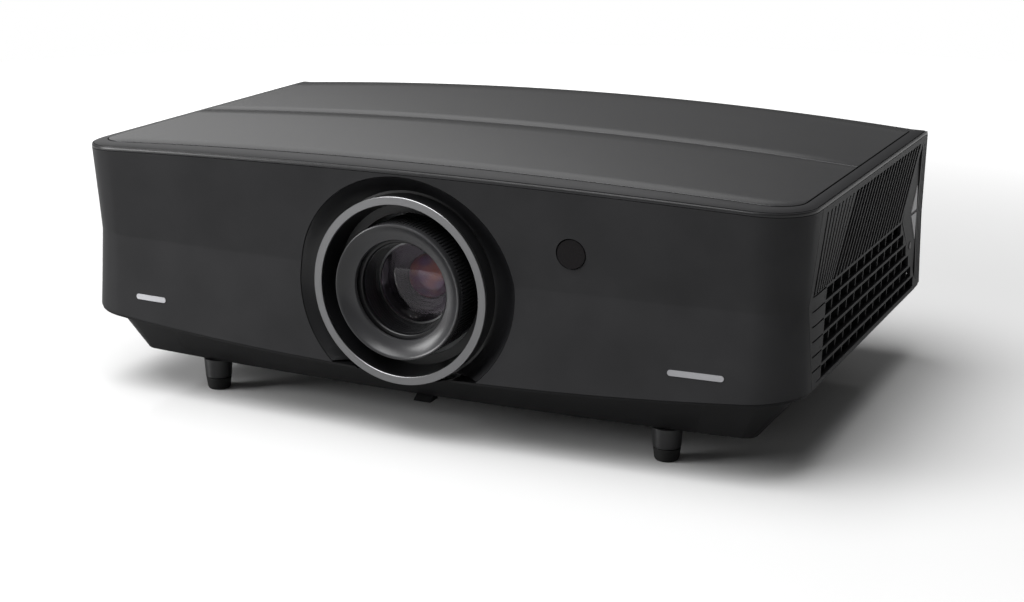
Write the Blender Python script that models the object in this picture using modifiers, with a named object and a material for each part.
"""A large home-cinema projector: bowed two-plane front, inset top with a lens access door, slatted sides.

+X is to the right of someone facing the lens, the lens looks along -Y, +Z is up, and the feet stand on z = 0.
"""

import math

import bmesh
import bpy
from mathutils import Matrix, Vector

# Driving dimensions, in metres
HALF_WIDTH = 0.249
LENS_FRONT_Y = -0.1655
REAR_Y = 0.1655
FLOOR_Z = 0.022
WAIST_Z = 0.1055
WALL = 0.0025
GAP = 0.0004
LENS_Z = 0.096

# Crowns and bows of the casing: how far a line moves between the middle and the side
RIM_Z, RIM_CROWN = 0.1704, 0.0066
PANEL_Z, PANEL_CROWN, PANEL_RISE = 0.1724, 0.0065, 0.0012
HEM_Z, HEM_CROWN = 0.043, 0.012
REAR_ROUND = 0.020
FRONT_BOW, REAR_BOW = 0.009, 0.009
RIM_HEIGHT = 0.0022
REAR_HEM_RISE = 0.010

# Plan outlines: half width, front y and rear y on the centre line, front and rear corner radius, front side seam
TOP_LEVEL = (HALF_WIDTH, -0.1605, 0.1610, 0.034, 0.012, -0.1130)
WAIST_LEVEL = (HALF_WIDTH - 0.002, -0.1545, REAR_Y, 0.030, 0.012, -0.1245)
HEM_LEVEL = (HALF_WIDTH - 0.0005, -0.1595, 0.1630, 0.032, 0.012, -0.1190)
PANEL_LEVEL = (0.2403, -0.1405, 0.1442, 0.022, 0.0015, -0.1130)
PANEL_FRONT_BOW, PANEL_REAR_BOW = 0.002, 0.021
SEAM_Y, SEAM_BOW, SEAM_GAP = -0.001, 0.008, 0.0014
PANEL_THICK = 0.0025

# Pan, front opening and the two front marks
PAN_FLOOR = (0.2165, -0.1350, 0.1360, 0.007, 0.007, -0.1000)
PAN_TOP = (0.243, -0.1470, 0.1560, 0.024, 0.020, -0.1100)
PAN_LIP, LEDGE_THICK = 0.0017, 0.0009
DISH_RX, DISH_RZ = 0.0742, 0.0706
DISH_FLOOR_R, DISH_FLOOR_Y = 0.0602, -0.1480
DISH_CUT_Z = HEM_Z + 0.0013
TUBE_R, TUBE_FRONT_Y = 0.0588, -0.1603
TRIM_RING_OUT, TRIM_RING_IN, TRIM_RING_Y = 0.0592, 0.0541, -0.1630
TUBE_THROAT_R, TUBE_FLOOR_Y, LENS_GAP_R = 0.0513, -0.1440, 0.0455
IR_X, IR_Z, IR_R = 0.1110, 0.1300, 0.0091

# Lens
FOCUS_R, FOCUS_BACK_Y = 0.0428, -0.1310
HOOD_R, HOOD_Y = 0.0320, -0.1600
BARREL_R, BARREL_BORE, BARREL_FRONT_Y, BARREL_BACK_Y = 0.0360, 0.0292, -0.1555, -0.0520
FRONT_GLASS_R, FRONT_GLASS_Y = 0.0258, -0.1370
ZOOM_R, ZOOM_FRONT_Y, ZOOM_BACK_Y, ZOOM_LEVER_R = 0.0420, -0.1270, -0.1160, 0.0580
MOUNT_Y = -0.1110
SHIFT_DIAL_X, SHIFT_DIAL_Y, SHIFT_DIAL_R = 0.0880, -0.0980, 0.0130

# Side grilles, as (y, z) on the side wall
LOUVRE_TOP_Z, LOUVRE_BOTTOM_Z, LOUVRE_LEAN = 0.1572, 0.1120, 0.89
LOUVRE_FIRST_Y, LOUVRE_PITCH, LOUVRE_SLOT, LOUVRE_COUNT = -0.0790, 0.0079, 0.0046, 20
RIB_TOP_Z, RIB_PITCH, RIB_THICK, RIB_COUNT = 0.1107, 0.0091, 0.0022, 6
GRID_FRONT_Y, GRID_FRONT_LEAN, GRID_PITCH, GRID_BAR = -0.0900, 0.21, 0.0177, 0.0022
KEYPAD_TIP_Y, KEYPAD_TIP_Z, KEYPAD_REAR_Y = 0.0890, 0.1107, 0.1300
KEYPAD_TOP_Z, KEYPAD_BOTTOM_Z = 0.1570, 0.0620
KEY_TRAVEL = 0.0008

# Door hinge, feet and fans
HINGE_Y, HINGE_Z, HINGE_X = 0.0300, 0.1612, 0.1700
ARM_OUTER_R, ARM_INNER_R = 0.0387, 0.0356
FOOT_X, FRONT_FOOT_Y, REAR_FOOT_Y = 0.1614, -0.1224, 0.1080
FOOT_COLLAR_R, FOOT_PAD_R, FOOT_PAD_HEIGHT, FOOT_STEM_R = 0.0095, 0.0085, 0.0082, 0.0040
FOOT_TAPER = 0.0008
FAN_SIZE, FAN_DEPTH, FAN_X, FAN_Y, FAN_Z = 0.1040, 0.0250, 0.2140, 0.0300, 0.0970

FRONT_STEPS, CORNER_STEPS, REAR_STEPS = 6, 4, 5
SIDE_STATIONS = (-0.108, -0.060, 0.060, 0.128, 0.137)


def material(name, colour, roughness, metallic=0.0):
    made = bpy.data.materials.new(name)
    made.use_nodes = True
    shader = made.node_tree.nodes["Principled BSDF"]
    shader.inputs["Base Color"].default_value = (*colour, 1.0)
    shader.inputs["Roughness"].default_value = roughness
    shader.inputs["Metallic"].default_value = metallic
    return made


def collection(name):
    made = bpy.data.collections.new(name)
    bpy.context.scene.collection.children.link(made)
    return made


for leftover in list(bpy.data.objects):
    bpy.data.objects.remove(leftover)
PROJECTOR = collection("home_projector")
CUTTERS = collection("cutters")
CASE_BLACK = material("case_black", (0.022, 0.022, 0.024), 0.45)
PAN_BLACK = material("pan_black", (0.012, 0.012, 0.013), 0.60)
TOP_SATIN = material("top_satin", (0.045, 0.045, 0.048), 0.35)
LENS_BLACK = material("lens_black", (0.008, 0.008, 0.009), 0.40)
SILVER = material("silver", (0.60, 0.60, 0.62), 0.25, 1.0)
GLASS = material("coated_glass", (0.10, 0.06, 0.12), 0.05)
IR_GLOSS = material("ir_gloss", (0.010, 0.006, 0.008), 0.10)
RUBBER = material("rubber", (0.006, 0.006, 0.006), 0.85)
KEY_GREY = material("key_grey", (0.42, 0.42, 0.43), 0.45)
STEEL = material("steel", (0.45, 0.45, 0.46), 0.35, 1.0)
ALUMINIUM = material("aluminium", (0.62, 0.63, 0.64), 0.40, 1.0)
BOARD_GREEN = material("board_green", (0.02, 0.12, 0.05), 0.55)
PHOSPHOR = material("phosphor", (0.85, 0.70, 0.12), 0.50)


def piece(name, mesh, finish):
    """A finished piece of the projector; finish None makes it a cutter."""
    obj = bpy.data.objects.new(name, mesh)
    if finish is None:
        CUTTERS.objects.link(obj)
        obj.hide_render = True
        obj.display_type = "WIRE"
        return obj
    PROJECTOR.objects.link(obj)
    mesh.materials.append(finish)
    return obj


def mesh_of(name, bm):
    bmesh.ops.recalc_face_normals(bm, faces=bm.faces)
    mesh = bpy.data.meshes.new(name)
    bm.to_mesh(mesh)
    bm.free()
    return mesh


def apply_cut(obj, cutter, operation="DIFFERENCE"):
    cut = obj.modifiers.new(cutter.name, "BOOLEAN")
    cut.operation = operation
    cut.object = cutter
    if operation == "UNION":
        cutter.hide_render = True
        cutter.display_type = "WIRE"


def loft(name, sections, finish, ring=False):
    """A solid through closed sections with equal point counts; ring joins the last section to the first."""
    bm = bmesh.new()
    rows = [[bm.verts.new(point) for point in section] for section in sections]
    pairs = list(zip(rows, rows[1:]))
    if ring:
        pairs.append((rows[-1], rows[0]))
    else:
        bm.faces.new(rows[0])
        bm.faces.new(rows[-1])
    for first, second in pairs:
        for i in range(len(first)):
            j = (i + 1) % len(first)
            bm.faces.new((first[i], first[j], second[j], second[i]))
    return piece(name, mesh_of(name, bm), finish)


def prisms(name, outlines, axis, low, high, finish):
    """Flat outlines given in the two other axes, in XYZ order, drawn out along an axis from low to high."""
    bm = bmesh.new()
    for outline in outlines:
        ends = []
        for depth in (low, high):
            points = [list(point) for point in outline]
            for point in points:
                point.insert("XYZ".index(axis), depth)
            ends.append([bm.verts.new(point) for point in points])
        bm.faces.new(ends[0])
        bm.faces.new(ends[1])
        for i in range(len(outline)):
            j = (i + 1) % len(outline)
            bm.faces.new((ends[0][i], ends[0][j], ends[1][j], ends[1][i]))
    return piece(name, mesh_of(name, bm), finish)


def box(name, low, high, finish):
    bm = bmesh.new()
    bmesh.ops.create_cube(bm, size=1.0)
    size = Vector(high) - Vector(low)
    centre = (Vector(high) + Vector(low)) / 2
    bmesh.ops.transform(bm, matrix=Matrix.Translation(centre) @ Matrix.Diagonal((*size, 1.0)), verts=bm.verts)
    return piece(name, mesh_of(name, bm), finish)


AXIS_TURN = {
    "X": Matrix.Rotation(math.pi / 2, 4, "Y"),
    "Y": Matrix.Rotation(-math.pi / 2, 4, "X"),
    "Z": Matrix.Identity(4),
}


def cylinder(name, centre, axis, radius, length, finish, sides=24, radius_high=None):
    bm = bmesh.new()
    bmesh.ops.create_cone(
        bm,
        cap_ends=True,
        segments=sides,
        radius1=radius,
        radius2=radius if radius_high is None else radius_high,
        depth=length,
    )
    bmesh.ops.transform(bm, matrix=AXIS_TURN[axis], verts=bm.verts)
    obj = piece(name, mesh_of(name, bm), finish)
    obj.location = centre
    return obj


def turned(name, centre, axis, profile, finish, sides=32):
    """A turned piece: a closed profile of (radius, distance along the axis), down its outer side first."""
    mesh = bpy.data.meshes.new(name)
    edges = [(i, (i + 1) % len(profile)) for i in range(len(profile))]
    mesh.from_pydata([(radius, 0.0, along) for radius, along in profile], edges, [])
    obj = piece(name, mesh, finish)
    screw = obj.modifiers.new("turn", "SCREW")
    screw.steps = sides
    screw.render_steps = sides
    screw.use_merge_vertices = True
    screw.merge_threshold = 0.00001
    obj.matrix_world = Matrix.Translation(centre) @ AXIS_TURN[axis]
    return obj


# ---------------------------------------------------------------- casing lines


def right_half(level, front_bow=FRONT_BOW, rear_bow=REAR_BOW):
    """The right half of a plan outline, from the front centre line round to the rear centre line."""
    half_width, front_y, rear_y, front_radius, rear_radius, side_seam = level
    points = []
    for sign, edge_y, bow, radius, steps in (
        (-1, front_y, front_bow, front_radius, FRONT_STEPS),
        (1, rear_y, rear_bow, rear_radius, REAR_STEPS),
    ):
        slope = 2 * bow * (half_width - radius) / half_width**2
        turn = math.atan(slope)
        arc_x = half_width - radius + radius * math.sin(turn)
        edge = [
            (x, edge_y - sign * bow * (x / half_width) ** 2)
            for x in (arc_x * i / steps for i in range(steps))
        ]
        centre_y = edge_y - sign * bow * (arc_x / half_width) ** 2 - sign * radius * math.cos(turn)
        last = 0.0
        arc_steps = CORNER_STEPS
        if sign < 0:
            last = math.asin(min(max((centre_y - side_seam) / radius, 0.0), 1.0))
            arc_steps += 1
            seam = (half_width - radius + radius * math.cos(last), max(side_seam, centre_y - radius * math.sin(last)))
            front_end = max(centre_y, seam[1])
        arc = []
        for i in range(CORNER_STEPS + 1):
            angle = last + (math.pi / 2 - turn - last) * (1 - i / arc_steps)
            arc.append(
                (half_width - radius + radius * math.cos(angle), centre_y + sign * radius * math.sin(angle))
            )
        points.append(edge + arc)
    rear_end = points[1][-1][1]
    side = [seam]
    for i, y in enumerate(SIDE_STATIONS):
        from_front, from_rear = 0.001 * (i + 1), 0.001 * (len(SIDE_STATIONS) - i)
        side.append((half_width, min(max(y, front_end + from_front), rear_end - from_rear)))
    return points[0] + side + points[1][::-1]


SEAM_INDEX = FRONT_STEPS + CORNER_STEPS + 1
REAR_INDEX = SEAM_INDEX + len(SIDE_STATIONS)


def whole_ring(half):
    return half + [(-x, y) for x, y in half[-2:0:-1]]


def inset(level, distance):
    half_width, front_y, rear_y, front_radius, rear_radius, side_seam = level
    return (
        half_width - distance,
        front_y + distance,
        rear_y - distance,
        max(front_radius - distance, 0.001),
        max(rear_radius - distance, 0.001),
        side_seam,
    )


def rear_drop(x, y):
    """How far an upper or lower edge turns in as it nears the rear wall."""
    start = REAR_Y - REAR_BOW * (x / HALF_WIDTH) ** 2 - REAR_ROUND
    depth = min(max(y - start, 0.0), 0.94 * REAR_ROUND)
    return REAR_ROUND - math.sqrt(REAR_ROUND**2 - depth**2)


def rim_z(x, y):
    return RIM_Z - RIM_CROWN * (x / HALF_WIDTH) ** 2 - rear_drop(x, y)


def hem_z(x, y):
    return HEM_Z + HEM_CROWN * (x / HALF_WIDTH) ** 2 + REAR_HEM_RISE / REAR_ROUND * rear_drop(x, y)


def panel_z(x, y):
    return PANEL_Z - PANEL_CROWN * (x / PANEL_LEVEL[0]) ** 2 + PANEL_RISE * (y + 0.148)


def face_y(x, z):
    """The bezel's outer face."""
    if z > WAIST_Z:
        share = (z - WAIST_Z) / (RIM_Z - RIM_HEIGHT - WAIST_Z)
        middle = WAIST_LEVEL[1] + share * (TOP_LEVEL[1] - WAIST_LEVEL[1])
    else:
        share = (WAIST_Z - z) / (WAIST_Z - HEM_Z)
        middle = WAIST_LEVEL[1] + share * (HEM_LEVEL[1] - WAIST_LEVEL[1])
    return middle + FRONT_BOW * (x / HALF_WIDTH) ** 2


def wall_sections(first, last, top_gap=0.0):
    """Wall sections between two stations of the right half: down the outer face and up the inner one."""
    outer = [right_half(level) for level in (TOP_LEVEL, WAIST_LEVEL, HEM_LEVEL)]
    inner = [right_half(inset(level, WALL)) for level in (TOP_LEVEL, WAIST_LEVEL, HEM_LEVEL)]
    sections = []
    for i in range(first, last + 1):
        section = []
        for halves, order in ((outer, (0, 1, 2)), (inner, (2, 1, 0))):
            for level in order:
                x, y = halves[level][i]
                edge_x, edge_y = outer[level][i]
                height = (rim_z(edge_x, edge_y) - RIM_HEIGHT - top_gap, WAIST_Z, hem_z(edge_x, edge_y))[level]
                section.append((x, y, height))
        sections.append(section)
    return sections


def mirrored(sections):
    return [[(-x, y, z) for x, y, z in section] for section in sections]


# ---------------------------------------------------------------- casing


def make_upper_frame():
    outer = whole_ring(right_half(TOP_LEVEL))
    inner = whole_ring(right_half(inset(PANEL_LEVEL, -0.0006), PANEL_FRONT_BOW, PANEL_REAR_BOW))
    shelf = whole_ring(right_half(inset(TOP_LEVEL, WALL + 0.0010)))
    sections = []
    for (outer_x, outer_y), (inner_x, inner_y), (shelf_x, shelf_y) in zip(outer, inner, shelf):
        outer_z = rim_z(outer_x, outer_y)
        inner_z = panel_z(inner_x, inner_y) - 0.0003
        section = [(outer_x, outer_y, outer_z - RIM_HEIGHT + GAP)]
        for angle in (90, 60, 30, 0):
            out = math.sin(math.radians(angle))
            up = math.cos(math.radians(angle))
            section.append(
                (
                    inner_x + (outer_x - inner_x) * out,
                    inner_y + (outer_y - inner_y) * out,
                    outer_z - 0.0006 + (inner_z - outer_z + 0.0006) * up,
                )
            )
        section.append((inner_x, inner_y, inner_z - PANEL_THICK - 0.001))
        section.append((shelf_x, shelf_y, outer_z - PANEL_THICK - 0.001))
        section.append((shelf_x, shelf_y, outer_z - RIM_HEIGHT + GAP))
        sections.append(section)
    return loft("upper_frame", sections, CASE_BLACK, ring=True)


def make_front_bezel():
    right = wall_sections(0, SEAM_INDEX)
    bezel = loft("front_bezel", mirrored(right[:0:-1]) + right, CASE_BLACK)
    opening = cylinder("lens_opening", (0, -0.150, LENS_Z), "Y", 1.0, 0.060, None, sides=40)
    opening.data.transform(
        Matrix.Diagonal((DISH_RX + GAP, 1.0, DISH_RZ + GAP, 1.0))
    )
    apply_cut(bezel, opening)
    apply_cut(bezel, cylinder("ir_opening", (IR_X, -0.150, IR_Z), "Y", IR_R + 0.0005, 0.040, None, sides=20))
    return bezel


def louvre_outlines():
    """The open louvre slots, leaning back towards the top."""
    height = LOUVRE_TOP_Z - LOUVRE_BOTTOM_Z
    outlines = []
    for i in range(LOUVRE_COUNT):
        y = LOUVRE_FIRST_Y + LOUVRE_PITCH * i
        lean = LOUVRE_LEAN * height
        outlines.append(
            [
                (y, LOUVRE_BOTTOM_Z),
                (y + LOUVRE_SLOT, LOUVRE_BOTTOM_Z),
                (y + LOUVRE_SLOT + lean, LOUVRE_TOP_Z),
                (y + lean, LOUVRE_TOP_Z),
            ]
        )
    return outlines


def keypad_edge_y(z):
    """The keypad's slanting front edge."""
    if z > KEYPAD_TIP_Z:
        share = (z - KEYPAD_TIP_Z) / (KEYPAD_TOP_Z - KEYPAD_TIP_Z)
    else:
        share = (KEYPAD_TIP_Z - z) / (KEYPAD_TIP_Z - KEYPAD_BOTTOM_Z)
    return KEYPAD_TIP_Y + share * (KEYPAD_REAR_Y - KEYPAD_TIP_Y)


def grid_outlines():
    """The open cells under the top rib, in rows between the ribs."""
    outlines = []
    for row in range(RIB_COUNT):
        top = RIB_TOP_Z - RIB_PITCH * row - RIB_THICK / 2
        bottom = max(top - RIB_PITCH + RIB_THICK, HEM_Z + HEM_CROWN + 0.0022)
        front = GRID_FRONT_Y - GRID_FRONT_LEAN * (RIB_TOP_Z - (top + bottom) / 2)
        end = keypad_edge_y((top + bottom) / 2) - 0.0055
        y = front
        while y + 0.006 < end:
            outlines.append(
                [
                    (y, bottom),
                    (min(y + GRID_PITCH - GRID_BAR, end), bottom),
                    (min(y + GRID_PITCH - GRID_BAR, end), top),
                    (y, top),
                ]
            )
            y += GRID_PITCH
    return outlines


def keypad_outline(clearance):
    rear = KEYPAD_REAR_Y + clearance
    slope = (KEYPAD_REAR_Y - KEYPAD_TIP_Y) / (KEYPAD_TOP_Z - KEYPAD_TIP_Z)
    grow = clearance * 1.8
    return [
        (KEYPAD_TIP_Y - grow, KEYPAD_TIP_Z),
        (rear, KEYPAD_BOTTOM_Z - grow / slope),
        (rear, KEYPAD_TOP_Z + grow / slope),
    ]


def make_side_panel(side, name, with_keypad):
    sections = wall_sections(SEAM_INDEX, REAR_INDEX)
    for end, shift in ((0, GAP), (-1, -GAP)):
        sections[end] = [(x, y + shift, z) for x, y, z in sections[end]]
    panel = loft(name, sections if side > 0 else mirrored(sections), CASE_BLACK)
    low, high = sorted((side * 0.235, side * 0.260))
    apply_cut(panel, prisms(name + "_louvre_slots", louvre_outlines(), "X", low, high, None))
    apply_cut(panel, prisms(name + "_grid_cells", grid_outlines(), "X", low, high, None))
    if with_keypad:
        apply_cut(panel, prisms("keypad_opening", [keypad_outline(GAP)], "X", low, high, None))
    return panel


def make_rear_panel():
    right = wall_sections(REAR_INDEX, len(right_half(TOP_LEVEL)) - 1)
    right[0] = [(x, y + GAP, z) for x, y, z in right[0]]
    panel = loft("rear_panel", right + mirrored(right[-2::-1]), CASE_BLACK)
    apply_cut(panel, box("port_opening", (-0.2004, 0.140, 0.0696), (-0.0096, 0.180, 0.1204), None))
    apply_cut(panel, box("inlet_opening", (0.1696, 0.140, 0.0756), (0.2014, 0.180, 0.0994), None))
    apply_cut(panel, cylinder("rear_ir_opening", (0.130, 0.160, 0.130), "Y", IR_R + 0.0005, 0.040, None, sides=20))
    return panel


def make_bottom_pan():
    lip = 0.0006
    top = whole_ring(right_half(inset(HEM_LEVEL, lip)))
    inner_top = whole_ring(right_half(inset(HEM_LEVEL, lip + WALL)))
    floor = whole_ring(right_half(PAN_FLOOR))
    inner_floor = whole_ring(right_half(inset(PAN_FLOOR, WALL)))
    wall = whole_ring(right_half(PAN_TOP))
    inner_wall = whole_ring(right_half(inset(PAN_TOP, WALL)))
    rings = [
        [(x, y, FLOOR_Z) for x, y in floor],
        [(x, y, hem_z(x, y) - PAN_LIP) for x, y in wall],
        [(x, y, hem_z(x, y) - PAN_LIP) for x, y in top],
        [(x, y, hem_z(x, y) - GAP) for x, y in top],
        [(x, y, hem_z(top_x, top_y) - GAP) for (x, y), (top_x, top_y) in zip(inner_top, top)],
        [(x, y, hem_z(x, y) - PAN_LIP + LEDGE_THICK) for x, y in inner_wall],
        [(x, y, FLOOR_Z + WALL) for x, y in inner_floor],
    ]
    pan = loft("bottom_pan", rings, PAN_BLACK)
    apply_cut(pan, cylinder("tube_notch", (0, -0.150, LENS_Z), "Y", DISH_FLOOR_R + 0.003, 0.050, None, sides=40))
    for x in (-FOOT_X, FOOT_X):
        centre = (x, FRONT_FOOT_Y, FLOOR_Z)
        apply_cut(pan, cylinder("stem_hole", centre, "Z", FOOT_STEM_R + 0.0006, 0.020, None, sides=16))
    return pan


def panel_sections(front, rear, stations):
    sections = []
    for x in stations:
        low, high = front(abs(x)), rear(abs(x))
        top = [(x, y, panel_z(x, y)) for y in (low, high)]
        under = [(x, y, panel_z(x, y) - PANEL_THICK) for y in (high, low)]
        sections.append(top + under)
    return sections


def make_top():
    """The fixed rear cover and the access door in front of it, split along the seam."""
    half = right_half(PANEL_LEVEL, PANEL_FRONT_BOW, PANEL_REAR_BOW)
    front_edge = half[: FRONT_STEPS + CORNER_STEPS + 1]
    stations = [x for x, _ in front_edge]
    stations = [-x for x in stations[:0:-1]] + stations

    def front(x):
        for (x0, y0), (x1, y1) in zip(front_edge, front_edge[1:]):
            if x0 <= x <= x1 + 1e-9:
                return y0 + (y1 - y0) * (x - x0) / (x1 - x0)
        return front_edge[-1][1]

    def seam(x):
        return SEAM_Y - SEAM_BOW * (x / PANEL_LEVEL[0]) ** 2

    def rear(x):
        return PANEL_LEVEL[2] - PANEL_REAR_BOW * (x / PANEL_LEVEL[0]) ** 2

    loft("lens_access_door", panel_sections(front, seam, stations), TOP_SATIN)
    loft("top_cover", panel_sections(lambda x: seam(x) + SEAM_GAP, rear, stations), TOP_SATIN)


def make_hinges():
    """Gooseneck arms under the door that reach round the cover's edge to pins below the cover."""
    for side, word in ((-1, "left"), (1, "right")):
        outline = []
        for radius, start, stop in ((ARM_OUTER_R, 176, 250), (ARM_INNER_R, 240, 180)):
            steps = 6
            for i in range(steps + 1):
                angle = math.radians(start + (stop - start) * i / steps)
                outline.append((HINGE_Y + radius * math.cos(angle), HINGE_Z + radius * math.sin(angle)))
            if start == 176:
                outline += [
                    (HINGE_Y + 0.0048 * math.cos(math.radians(a)), HINGE_Z + 0.0048 * math.sin(math.radians(a)))
                    for a in (300, 0, 60, 120, 190)
                ]
        foot_z = panel_z(HINGE_X + 0.002, -0.010) - PANEL_THICK - 0.0009
        outline[-1] = (HINGE_Y - ARM_INNER_R, HINGE_Z)
        outline += [(HINGE_Y - ARM_INNER_R, foot_z - 0.002), (HINGE_Y - ARM_INNER_R, foot_z)]
        outline += [(HINGE_Y - 0.0500, foot_z - 0.0002), (HINGE_Y - 0.0500, foot_z - 0.0022)]
        outline += [(HINGE_Y - ARM_OUTER_R, foot_z - 0.0022)]
        low, high = sorted((side * (HINGE_X - 0.0015), side * (HINGE_X + 0.0015)))
        arm = prisms("door_hinge_arm_" + word, [outline], "X", low, high, STEEL)
        centre = (side * HINGE_X, HINGE_Y, HINGE_Z)
        apply_cut(arm, cylinder("arm_hole_" + word, centre, "X", 0.0024, 0.010, None, sides=16))
        plate = [(0.0240, 0.1560), (0.0360, 0.1560), (0.0360, 0.1660), (0.0240, 0.1660)]
        low, high = sorted((side * (HINGE_X + 0.0025), side * (HINGE_X + 0.0055)))
        bracket = prisms("door_hinge_bracket_" + word, [plate], "X", low, high, STEEL)
        pin_centre = (side * (HINGE_X + 0.0015), HINGE_Y, HINGE_Z)
        apply_cut(bracket, cylinder("bracket_pin_" + word, pin_centre, "X", 0.0020, 0.007, None, sides=16), "UNION")


# ---------------------------------------------------------------- lens surround


def make_lens_surround():
    sides = 40
    sections = []
    for i in range(sides):
        angle = 2 * math.pi * i / sides
        across, up = math.cos(angle), math.sin(angle)

        def at(radius, y):
            return (radius * across, y, LENS_Z + radius * up)

        x, z = DISH_RX * across, LENS_Z + DISH_RZ * up
        lip_y = face_y(x, z) + 0.0006
        sections.append(
            [
                (x, lip_y, z),
                at(DISH_FLOOR_R, DISH_FLOOR_Y),
                at(TUBE_R, DISH_FLOOR_Y - 0.0003),
                at(TUBE_R, TUBE_FRONT_Y),
                at(TRIM_RING_IN + 0.0002, TUBE_FRONT_Y),
                at(TUBE_THROAT_R, TUBE_FLOOR_Y),
                at(LENS_GAP_R, TUBE_FLOOR_Y + 0.0002),
                at(LENS_GAP_R, TUBE_FLOOR_Y + 0.0022),
                at(DISH_FLOOR_R, TUBE_FLOOR_Y + 0.0022),
                (x, lip_y + WALL, z),
            ]
        )
    surround = loft("lens_surround", sections, LENS_BLACK, ring=True)
    below = box("dish_trim", (-0.080, -0.175, 0.010), (0.080, -0.120, DISH_CUT_Z), None)
    apply_cut(below, cylinder("tube_keep", (0, -0.150, LENS_Z), "Y", TUBE_R + 0.0010, 0.080, None, sides=40))
    apply_cut(surround, below)
    ring = [
        (TRIM_RING_OUT, 0.0),
        (TRIM_RING_OUT, -0.0018),
        (TRIM_RING_OUT - 0.0005, -0.0024),
        (TRIM_RING_IN + 0.0005, -0.0024),
        (TRIM_RING_IN, -0.0018),
        (TRIM_RING_IN, 0.0),
    ]
    turned("lens_trim_ring", (0, TUBE_FRONT_Y - GAP, LENS_Z), "Y", ring, SILVER, sides=48)


def make_ir_windows():
    front_y = face_y(IR_X, IR_Z) - 0.0002
    for name, x, z, y in (("front_ir_window", IR_X, IR_Z, front_y + 0.002), ("rear_ir_window", 0.130, 0.130, 0.1600)):
        cylinder(name, (x, y, z), "Y", IR_R, 0.0040, IR_GLOSS, sides=20)


# ---------------------------------------------------------------- lens


def make_lens():
    profile = [
        (FOCUS_R, FOCUS_BACK_Y),
        (FOCUS_R, LENS_FRONT_Y + 0.0006),
        (FOCUS_R - 0.0006, LENS_FRONT_Y),
        (FOCUS_R - 0.0016, LENS_FRONT_Y),
        (HOOD_R, HOOD_Y),
        (HOOD_R, HOOD_Y + 0.0030),
        (BARREL_R + GAP, HOOD_Y + 0.0030),
        (BARREL_R + GAP, FOCUS_BACK_Y),
    ]
    turned("focus_ring", (0, 0, LENS_Z), "Y", profile, LENS_BLACK, sides=40)
    barrel = [
        (BARREL_R, BARREL_BACK_Y),
        (BARREL_R, BARREL_FRONT_Y),
        (BARREL_BORE, BARREL_FRONT_Y),
        (BARREL_BORE, BARREL_BACK_Y),
    ]
    turned("lens_barrel", (0, 0, LENS_Z), "Y", barrel, LENS_BLACK)
    cell = [
        (BARREL_BORE - GAP, FRONT_GLASS_Y + 0.014),
        (BARREL_BORE - GAP, FRONT_GLASS_Y - 0.012),
        (FRONT_GLASS_R + GAP, FRONT_GLASS_Y - 0.012),
        (FRONT_GLASS_R + GAP, FRONT_GLASS_Y + 0.014),
    ]
    turned("focus_lens_cell", (0, 0, LENS_Z), "Y", cell, LENS_BLACK, sides=24)
    dome = [(FRONT_GLASS_R * math.sin(math.radians(a)), -0.007 * math.cos(math.radians(a))) for a in (90, 60, 30, 0)]
    glass = [(0.0, FRONT_GLASS_Y + 0.009), (FRONT_GLASS_R, FRONT_GLASS_Y + 0.009)]
    glass += [(radius, FRONT_GLASS_Y + along) for radius, along in dome]
    turned("front_lens_element", (0, 0, LENS_Z), "Y", glass, GLASS, sides=24)
    zoom_cell = [
        (BARREL_BORE - GAP, -0.0900),
        (BARREL_BORE - GAP, -0.1100),
        (0.0010, -0.1060),
        (0.0010, -0.0940),
    ]
    turned("zoom_lens_cell", (0, 0, LENS_Z), "Y", zoom_cell, GLASS, sides=24)
    zoom = [
        (ZOOM_R, ZOOM_BACK_Y),
        (ZOOM_R, ZOOM_FRONT_Y),
        (BARREL_R + GAP, ZOOM_FRONT_Y),
        (BARREL_R + GAP, ZOOM_BACK_Y),
    ]
    ring = turned("zoom_ring", (0, 0, LENS_Z), "Y", zoom, LENS_BLACK)
    lever = box(
        "zoom_lever",
        (-0.0040, ZOOM_FRONT_Y + 0.003, LENS_Z + ZOOM_R - 0.002),
        (0.0040, ZOOM_BACK_Y - 0.003, LENS_Z + ZOOM_LEVER_R),
        LENS_BLACK,
    )
    apply_cut(ring, lever, "UNION")
    rear_glass = [(0.0, -0.0560), (0.0250, -0.0560), (0.0250, -0.0620), (0.0, -0.0640)]
    turned("rear_lens_element", (0, 0, LENS_Z), "Y", rear_glass, GLASS, sides=24)


def shift_plate(name, half_width, low_z, high_z, hole, front_y, thick, finish):
    plate = box(name, (-half_width, front_y, low_z), (half_width, front_y + thick, high_z), finish)
    apply_cut(plate, cylinder(name + "_hole", (0, front_y, LENS_Z), "Y", hole, 0.030, None, sides=32))
    return plate


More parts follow.
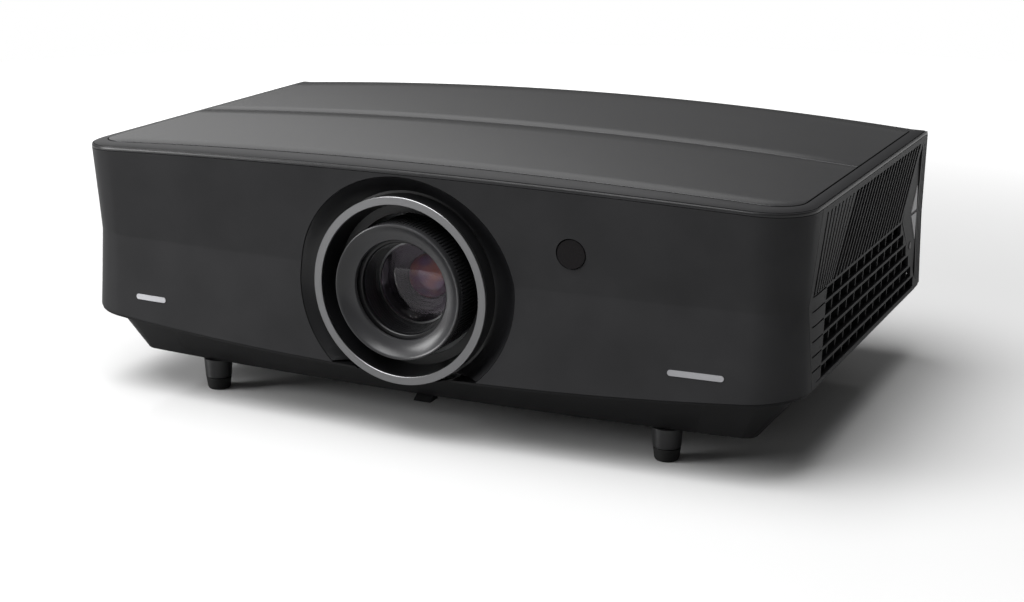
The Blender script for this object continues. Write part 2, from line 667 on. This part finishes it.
def make_lens_mount():
    mount = shift_plate("lens_mount_plate", 0.108, 0.0255, 0.1360, BARREL_R + 0.0040, MOUNT_Y, 0.0030, ALUMINIUM)
    for side in (-1, 1):
        low, high = sorted((side * 0.0700, side * 0.1060))
        shelf = box("dial_shelf", (low, MOUNT_Y + 0.0020, 0.1320), (high, -0.0840, 0.1350), ALUMINIUM)
        apply_cut(mount, shelf, "UNION")
        centre = (side * SHIFT_DIAL_X, SHIFT_DIAL_Y, 0.1330)
        apply_cut(mount, cylinder("dial_hole", centre, "Z", 0.0034, 0.020, None, sides=16))
    shift_plate("horizontal_shift_carriage", 0.0560, 0.0420, 0.1390, BARREL_R + 0.0035, -0.1070, 0.0040, ALUMINIUM)
    shift_plate("vertical_shift_carriage", 0.0520, 0.0480, 0.1370, BARREL_R + GAP, -0.1020, 0.0050, ALUMINIUM)
    for side, name in ((-1, "vertical_shift_dial"), (1, "horizontal_shift_dial")):
        dial = [
            (0.0, 0.1500),
            (SHIFT_DIAL_R - 0.001, 0.1500),
            (SHIFT_DIAL_R, 0.1490),
            (SHIFT_DIAL_R, 0.1400),
            (0.0030, 0.1400),
            (0.0030, 0.1180),
            (0.0, 0.1180),
        ]
        turned(name, (side * SHIFT_DIAL_X, SHIFT_DIAL_Y, 0), "Z", dial, LENS_BLACK, sides=24)


# ---------------------------------------------------------------- keypad and feet


def round_outline(y, z, radius, sides=16):
    return [
        (y + radius * math.cos(2 * math.pi * i / sides), z + radius * math.sin(2 * math.pi * i / sides))
        for i in range(sides)
    ]


def shrunk(outline, distance):
    """A convex outline moved in towards its middle by about a distance."""
    middle_y = sum(y for y, _ in outline) / len(outline)
    middle_z = sum(z for _, z in outline) / len(outline)
    moved = []
    for y, z in outline:
        length = math.hypot(y - middle_y, z - middle_z)
        share = 1 - distance / length
        moved.append((middle_y + (y - middle_y) * share, middle_z + (z - middle_z) * share))
    return moved


def make_keypad():
    face_x = WAIST_LEVEL[0] + 0.0002
    keys = {
        "key_up": [(0.1130, 0.1112), (0.1282, 0.1112), (0.1276, 0.1290)],
        "key_down": [(0.1130, 0.1100), (0.1272, 0.0900), (0.1282, 0.1100)],
        "key_power": round_outline(0.1150, 0.0885, 0.0028),
    }
    frame = prisms("keypad_frame", [keypad_outline(-GAP)], "X", face_x - 0.0030, face_x, CASE_BLACK)
    openings = list(keys.values())
    apply_cut(frame, prisms("key_openings", openings, "X", face_x - 0.010, face_x + 0.010, None))
    for name, outline in keys.items():
        finish = KEY_GREY if name != "key_power" else CASE_BLACK
        clearance = 0.0003 if name == "key_power" else 0.0007
        prisms(name, [shrunk(outline, clearance)], "X", face_x - 0.0060, face_x + 0.0004, finish)


def make_feet():
    for side, word in ((-1, "left"), (1, "right")):
        for y, place in ((FRONT_FOOT_Y, "front"), (REAR_FOOT_Y, "rear")):
            name = place + "_" + word
            pad = [
                (0.0, FOOT_PAD_HEIGHT),
                (FOOT_PAD_R, FOOT_PAD_HEIGHT),
                (FOOT_PAD_R - FOOT_TAPER, 0.0012),
                (FOOT_PAD_R - FOOT_TAPER - 0.0012, 0.0),
                (0.0, 0.0),
            ]
            turned("foot_pad_" + name, (side * FOOT_X, y, 0), "Z", pad, RUBBER, sides=24)
            collar_low = FOOT_PAD_HEIGHT + GAP
            bore = FOOT_STEM_R + GAP if place == "front" else 0.0
            collar = [
                (FOOT_COLLAR_R, FLOOR_Z - 0.0005),
                (FOOT_COLLAR_R - FOOT_TAPER, collar_low),
                (bore, collar_low),
                (bore, FLOOR_Z - 0.0005),
            ]
            turned("foot_collar_" + name, (side * FOOT_X, y, 0), "Z", collar, LENS_BLACK, sides=24)
            if place == "front":
                stem_low = collar_low + GAP
                centre = (side * FOOT_X, y, (stem_low + 0.050) / 2)
                cylinder("foot_stem_" + name, centre, "Z", FOOT_STEM_R, 0.050 - stem_low, STEEL, sides=16)


# ---------------------------------------------------------------- optics, cooling and electronics


def make_fan(side, name):
    half, depth = FAN_SIZE / 2, FAN_DEPTH
    low, high = sorted((side * (FAN_X - depth / 2), side * (FAN_X + depth / 2)))
    frame = box(name + "_frame", (low, FAN_Y - half, FAN_Z - half), (high, FAN_Y + half, FAN_Z + half), LENS_BLACK)
    centre = (side * FAN_X, FAN_Y, FAN_Z)
    apply_cut(frame, cylinder(name + "_bore", centre, "X", half - 0.003, depth * 2, None, sides=32))
    strut_x = sorted((side * (FAN_X - depth / 2 + 0.0005), side * (FAN_X - depth / 2 + 0.0030)))
    strut = box(
        name + "_strut",
        (strut_x[0], FAN_Y - half + 0.001, FAN_Z - 0.004),
        (strut_x[1], FAN_Y + half - 0.001, FAN_Z + 0.004),
        LENS_BLACK,
    )
    seat_x = side * (FAN_X - depth / 2 + 0.0018)
    apply_cut(strut, cylinder(name + "_seat", (seat_x, FAN_Y, FAN_Z), "X", 0.0180, 0.0024, LENS_BLACK), "UNION")
    apply_cut(frame, strut, "UNION")
    rotor = cylinder(name + "_rotor", (side * (FAN_X + 0.002), FAN_Y, FAN_Z), "X", 0.0190, 0.0160, LENS_BLACK)
    blades = 7
    outlines = []
    for i in range(blades):
        angle = 2 * math.pi * i / blades
        points = []
        for radius, turn in ((0.0175, -0.10), (0.0480, -0.30), (0.0480, -0.24), (0.0175, 0.02)):
            points.append((FAN_Y + radius * math.cos(angle + turn), FAN_Z + radius * math.sin(angle + turn)))
        outlines.append(points)
    blade_x = sorted((side * (FAN_X - 0.0045), side * (FAN_X + 0.0085)))
    apply_cut(rotor, prisms(name + "_blades", outlines, "X", *blade_x, LENS_BLACK), "UNION")


def make_finned_block(name, low, high, fins, base):
    """A heat sink: a base at its low X side with upright fins along X."""
    block = box(name, low, high, ALUMINIUM)
    pitch = (high[1] - low[1]) / (fins + (fins - 1))
    slots = []
    for i in range(fins - 1):
        y = low[1] + pitch * (2 * i + 1)
        slots.append([(low[0] + base, y), (high[0] + 0.005, y), (high[0] + 0.005, y + pitch), (low[0] + base, y + pitch)])
    apply_cut(block, prisms(name + "_slots", slots, "Z", low[2] - 0.005, high[2] + 0.005, None))
    return block


def make_insides():
    housing = box("light_engine_housing", (-0.0600, -0.0440, 0.0400), (0.0600, 0.0560, 0.1300), ALUMINIUM)
    apply_cut(housing, box("housing_inside", (-0.0570, -0.0410, 0.0430), (0.0570, 0.0530, 0.1400), None))
    apply_cut(housing, cylinder("housing_port", (0, -0.045, LENS_Z), "Y", 0.0280, 0.020, None, sides=24))
    box("dmd_board", (-0.0350, 0.0565, 0.0500), (0.0350, 0.0581, 0.1200), BOARD_GREEN)
    block = box("dmd_heat_sink", (-0.0250, 0.0590, 0.0600), (0.0250, 0.0790, 0.1100), ALUMINIUM)
    slots = [
        [(x, 0.0620), (x + 0.004, 0.0620), (x + 0.004, 0.0850), (x, 0.0850)]
        for x in (-0.018, -0.008, 0.002, 0.012)
    ]
    apply_cut(block, prisms("dmd_slots", slots, "Z", 0.050, 0.120, None))
    box("laser_module", (0.0610, -0.0250, 0.0550), (0.1000, 0.0350, 0.1050), ALUMINIUM)
    make_finned_block("laser_heat_sink", (0.1010, -0.0400, 0.0450), (0.1600, 0.0500, 0.1150), 8, 0.005)
    wheel = [(0.0, 0.0012), (0.0260, 0.0012), (0.0260, 0.0), (0.0, 0.0)]
    turned("phosphor_wheel", (-0.0700, 0.0050, 0.0850), "X", wheel, PHOSPHOR)
    cylinder("phosphor_motor", (-0.0790, 0.0050, 0.0850), "X", 0.0110, 0.0160, STEEL)
    box("main_board", (-0.1800, 0.0620, 0.0280), (0.0600, 0.1300, 0.0296), BOARD_GREEN)
    box("power_supply_board", (0.0750, 0.0640, 0.0280), (0.1900, 0.1230, 0.0296), BOARD_GREEN)
    for side, word in ((-1, "left"), (1, "right")):
        cone = [
            (0.0240, 0.0),
            (0.0160, -0.0170),
            (0.0, -0.0170),
            (0.0, -0.0090),
            (0.0060, -0.0090),
            (0.0200, 0.0),
        ]
        speaker = turned("speaker_" + word, (side * 0.2360, -0.0850, 0.0850), "X", cone, LENS_BLACK, sides=24)
        if side < 0:
            speaker.matrix_world = speaker.matrix_world @ Matrix.Rotation(math.pi, 4, "X")


def make_sockets():
    plate = box("io_port_plate", (-0.2000, 0.1540, 0.0700), (-0.0100, 0.1560, 0.1200), LENS_BLACK)
    holes = [[(x, 0.0840), (x + width, 0.0840), (x + width, 0.0840 + height), (x, 0.0840 + height)]
             for x, width, height in ((-0.190, 0.016, 0.013), (-0.164, 0.015, 0.006), (-0.142, 0.015, 0.006),
                                      (-0.120, 0.031, 0.012), (-0.078, 0.014, 0.007), (-0.050, 0.014, 0.007))]
    apply_cut(plate, prisms("port_holes", holes, "Y", 0.150, 0.170, None))
    inlet = box("ac_inlet", (0.1700, 0.1380, 0.0760), (0.2010, 0.1600, 0.0990), LENS_BLACK)
    apply_cut(inlet, box("inlet_socket", (0.1735, 0.1440, 0.0795), (0.1975, 0.1700, 0.0955), None))
    clip = [(-0.1390, 0.0185), (-0.1290, 0.0185), (-0.1290, 0.0216), (-0.1345, 0.0216)]
    prisms("pan_front_clip", [clip], "X", -0.0035, 0.0085, LENS_BLACK)


make_upper_frame()
make_front_bezel()
make_side_panel(1, "right_side_grille", True)
make_side_panel(-1, "left_side_grille", False)
make_rear_panel()
make_bottom_pan()
make_top()
make_hinges()
make_lens_surround()
make_ir_windows()
make_lens()
make_lens_mount()
make_keypad()
make_feet()
make_fan(1, "intake_fan")
make_fan(-1, "exhaust_fan")
make_insides()
make_sockets()
